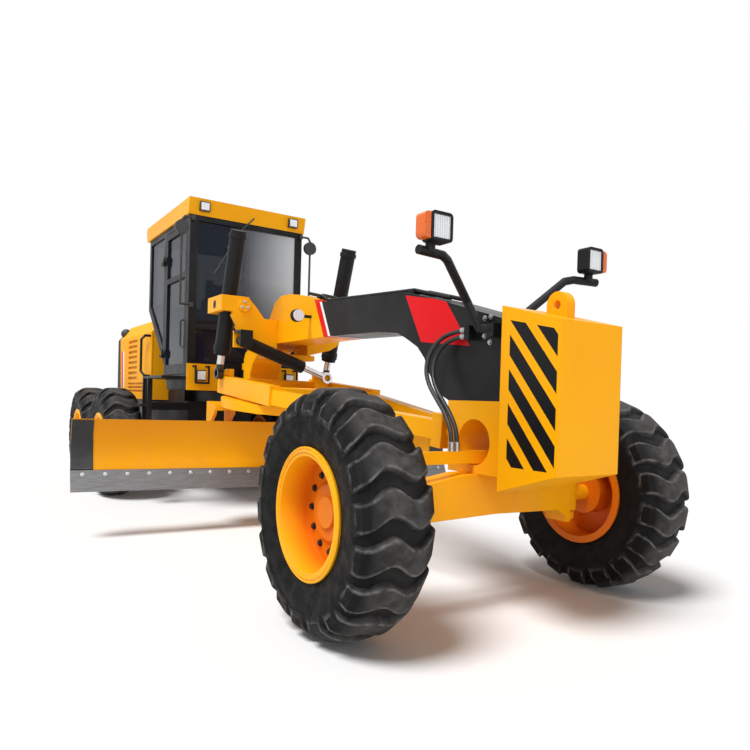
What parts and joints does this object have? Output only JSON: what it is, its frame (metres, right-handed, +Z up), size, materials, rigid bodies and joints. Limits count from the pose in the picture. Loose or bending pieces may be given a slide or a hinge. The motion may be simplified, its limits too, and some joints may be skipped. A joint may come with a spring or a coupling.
{
  "type": "motor grader",
  "caption": "Articulated motor grader with a glazed cab, arched front frame, front counterweight and a long curved blade hung on a turning circle between its axles",
  "frame": {"origin": "centre of the footprint of the bounding box, on the ground under the wheels", "axes": "X forward along the machine, Y to the machine's left, Z up"},
  "size_m": [8.75, 3.8921, 3.405],
  "materials": {
    "machine_yellow": "satin",
    "frame_black": "satin",
    "frame_grey": "matte",
    "rim_yellow": "satin",
    "tyre_rubber": "matte",
    "rod_chrome": "polished",
    "edge_steel": "matte",
    "cab_glass_tint": "gloss",
    "seat_fabric": "matte",
    "dark_plastic": "matte",
    "lamp_lens": "gloss",
    "amber_lens": "gloss",
    "hose_rubber": "matte",
    "engine_iron": "matte"
  },
  "bodies": {
    "chassis": {"rear_frame": "frame_grey", "frame_neck": "machine_yellow", "filler_cap": "frame_black", "rear_axle": "frame_grey", "tandem_cases": "frame_grey", "engine_block": "engine_iron", "hood": "machine_yellow", "hood_grille": "frame_black", "exhaust": "frame_grey", "fuel_tank": "machine_yellow", "cab_frame": "frame_black", "cab_roof": "machine_yellow", "cab_glass": "cab_glass_tint", "seat": "seat_fabric", "control_console": "dark_plastic", "steps": "frame_black", "handrails": "frame_black", "mirrors": "frame_black", "work_lamps": "lamp_lens"},
    "door_left": {"door_left": "frame_black", "door_left_glass": "cab_glass_tint"},
    "door_right": {"door_right": "frame_black", "door_right_glass": "cab_glass_tint"},
    "front_frame": {"gooseneck": "machine_yellow", "frame_pipes": "frame_black", "turn_lamps": "amber_lens", "hose_outer": "hose_rubber", "hose_inner": "hose_rubber", "counterweight": "machine_yellow", "lift_saddle": "machine_yellow", "headlamp_stalks": "frame_black", "headlamps": "lamp_lens", "front_axle": "machine_yellow", "lean_bar": "machine_yellow"},
    "knuckle_left": {"knuckle_left": "machine_yellow"},
    "knuckle_right": {"knuckle_right": "machine_yellow"},
    "tie_rod": {"tie_rod": "frame_grey"},
    "drawbar": {"drawbar": "machine_yellow"},
    "circle": {"circle": "machine_yellow"},
    "blade_carrier": {"blade_carrier": "machine_yellow"},
    "blade": {"moldboard": "machine_yellow", "cutting_edge": "edge_steel"},
    "lift_barrel_left": {"lift_barrel_left": "frame_black"},
    "lift_barrel_right": {"lift_barrel_right": "frame_black"},
    "lift_rod_left": {"lift_rod_left": "rod_chrome"},
    "lift_rod_right": {"lift_rod_right": "rod_chrome"},
    "shift_barrel": {"shift_barrel": "frame_black"},
    "shift_rod": {"shift_rod": "rod_chrome"},
    "wheel_front_left": {"tyre_front_left": "tyre_rubber", "rim_front_left": "rim_yellow"},
    "wheel_front_right": {"tyre_front_right": "tyre_rubber", "rim_front_right": "rim_yellow"},
    "wheel_middle_left": {"tyre_middle_left": "tyre_rubber", "rim_middle_left": "rim_yellow"},
    "wheel_middle_right": {"tyre_middle_right": "tyre_rubber", "rim_middle_right": "rim_yellow"},
    "wheel_rear_left": {"tyre_rear_left": "tyre_rubber", "rim_rear_left": "rim_yellow"},
    "wheel_rear_right": {"tyre_rear_right": "tyre_rubber", "rim_rear_right": "rim_yellow"}
  },
  "joints": [
    {"name": "articulation", "type": "hinge", "parent": "chassis", "child": "front_frame", "pos_m": [-0.23, 0, 1.455], "axis": [0, 0, 1], "range_deg": [-25, 25]},
    {"name": "steer_right", "type": "hinge", "parent": "front_frame", "child": "knuckle_right", "pos_m": [3.575, -0.765, 0.67], "axis": [0, 0, 1], "range_deg": [-45, 45]},
    {"name": "steer_left", "type": "hinge", "parent": "front_frame", "child": "knuckle_left", "pos_m": [3.575, 0.765, 0.67], "axis": [0, 0, 1], "range_deg": [-45, 45]},
    {"name": "tie_rod_swing", "type": "hinge", "parent": "knuckle_right", "child": "tie_rod", "pos_m": [3.315, -0.765, 0.555], "axis": [0, 0, 1], "range_deg": [-45, 45]},
    {"name": "wheel_front_left_spin", "type": "hinge", "parent": "knuckle_left", "child": "wheel_front_left", "pos_m": [3.575, 1.065, 0.67], "axis": [0, 1, 0], "continuous": true},
    {"name": "wheel_front_right_spin", "type": "hinge", "parent": "knuckle_right", "child": "wheel_front_right", "pos_m": [3.575, -1.065, 0.67], "axis": [0, 1, 0], "continuous": true},
    {"name": "wheel_middle_left_spin", "type": "hinge", "parent": "chassis", "child": "wheel_middle_left", "pos_m": [-2.035, 1.065, 0.67], "axis": [0, 1, 0], "continuous": true},
    {"name": "wheel_middle_right_spin", "type": "hinge", "parent": "chassis", "child": "wheel_middle_right", "pos_m": [-2.035, -1.065, 0.67], "axis": [0, 1, 0], "continuous": true},
    {"name": "wheel_rear_left_spin", "type": "hinge", "parent": "chassis", "child": "wheel_rear_left", "pos_m": [-3.575, 1.065, 0.67], "axis": [0, 1, 0], "continuous": true},
    {"name": "wheel_rear_right_spin", "type": "hinge", "parent": "chassis", "child": "wheel_rear_right", "pos_m": [-3.575, -1.065, 0.67], "axis": [0, 1, 0], "continuous": true},
    {"name": "drawbar_lift", "type": "hinge", "parent": "front_frame", "child": "drawbar", "pos_m": [3.275, 0, 1.08], "axis": [0, 1, 0], "range_deg": [-20, 2]},
    {"name": "circle_turn", "type": "hinge", "parent": "drawbar", "child": "circle", "pos_m": [0.82648, 0, 1.20387], "axis": [0.0872, 0, 0.9962], "continuous": true},
    {"name": "blade_pitch", "type": "hinge", "parent": "circle", "child": "blade_carrier", "pos_m": [0.38147, 0.03387, 0.55987], "axis": [0.0868, 0.9962, -0.0076], "range_deg": [-5, 40]},
    {"name": "blade_side_shift", "type": "slide", "parent": "blade_carrier", "child": "blade", "axis": [-0.0868, -0.9962, 0.0076], "range_m": [-0.5, 0.5]},
    {"name": "lift_barrel_left_swing", "type": "hinge", "parent": "front_frame", "child": "lift_barrel_left", "pos_m": [0.5872, 0.595, 2.14], "axis": [0, 1, 0], "range_deg": [-12.44, 1.33]},
    {"name": "lift_rod_left_slide", "type": "slide", "parent": "lift_barrel_left", "child": "lift_rod_left", "axis": [-0.3147, 0, -0.9492], "range_m": [-0.1006, 0.9974]},
    {"name": "lift_barrel_right_swing", "type": "hinge", "parent": "front_frame", "child": "lift_barrel_right", "pos_m": [0.5872, -0.595, 2.14], "axis": [0, 1, 0], "range_deg": [-12.44, 1.33]},
    {"name": "lift_rod_right_slide", "type": "slide", "parent": "lift_barrel_right", "child": "lift_rod_right", "axis": [-0.3147, 0, -0.9492], "range_m": [-0.1006, 0.9974]},
    {"name": "shift_barrel_swing", "type": "hinge", "parent": "front_frame", "child": "shift_barrel", "pos_m": [0.85, -0.545, 1.795], "axis": [1, 0, 0], "range_deg": [-35.51, 3.64]},
    {"name": "shift_rod_slide", "type": "slide", "parent": "shift_barrel", "child": "shift_rod", "axis": [0, 0.9444, -0.3289], "range_m": [-0.0493, 0.484]},
    {"name": "door_left_swing", "type": "hinge", "parent": "chassis", "child": "door_left", "pos_m": [-1.33, 0.685, 2.33], "axis": [0, 0, 1], "range_deg": [0, 90]},
    {"name": "door_right_swing", "type": "hinge", "parent": "chassis", "child": "door_right", "pos_m": [-1.33, -0.685, 2.33], "axis": [0, 0, -1], "range_deg": [0, 90]}
  ],
  "couplings": [
    {"joint": "steer_left", "follows": "steer_right", "ratio": 1},
    {"joint": "tie_rod_swing", "follows": "steer_right", "ratio": -1},
    {"joint": "lift_barrel_left_swing", "follows": "drawbar_lift", "ratio": 0.617},
    {"joint": "lift_rod_left_slide", "follows": "drawbar_lift", "m_per_rad": -2.8544},
    {"joint": "lift_barrel_right_swing", "follows": "drawbar_lift", "ratio": 0.617},
    {"joint": "lift_rod_right_slide", "follows": "drawbar_lift", "m_per_rad": -2.8544},
    {"joint": "shift_barrel_swing", "follows": "drawbar_lift", "ratio": 1.7705},
    {"joint": "shift_rod_slide", "follows": "drawbar_lift", "m_per_rad": -1.3838}
  ]
}
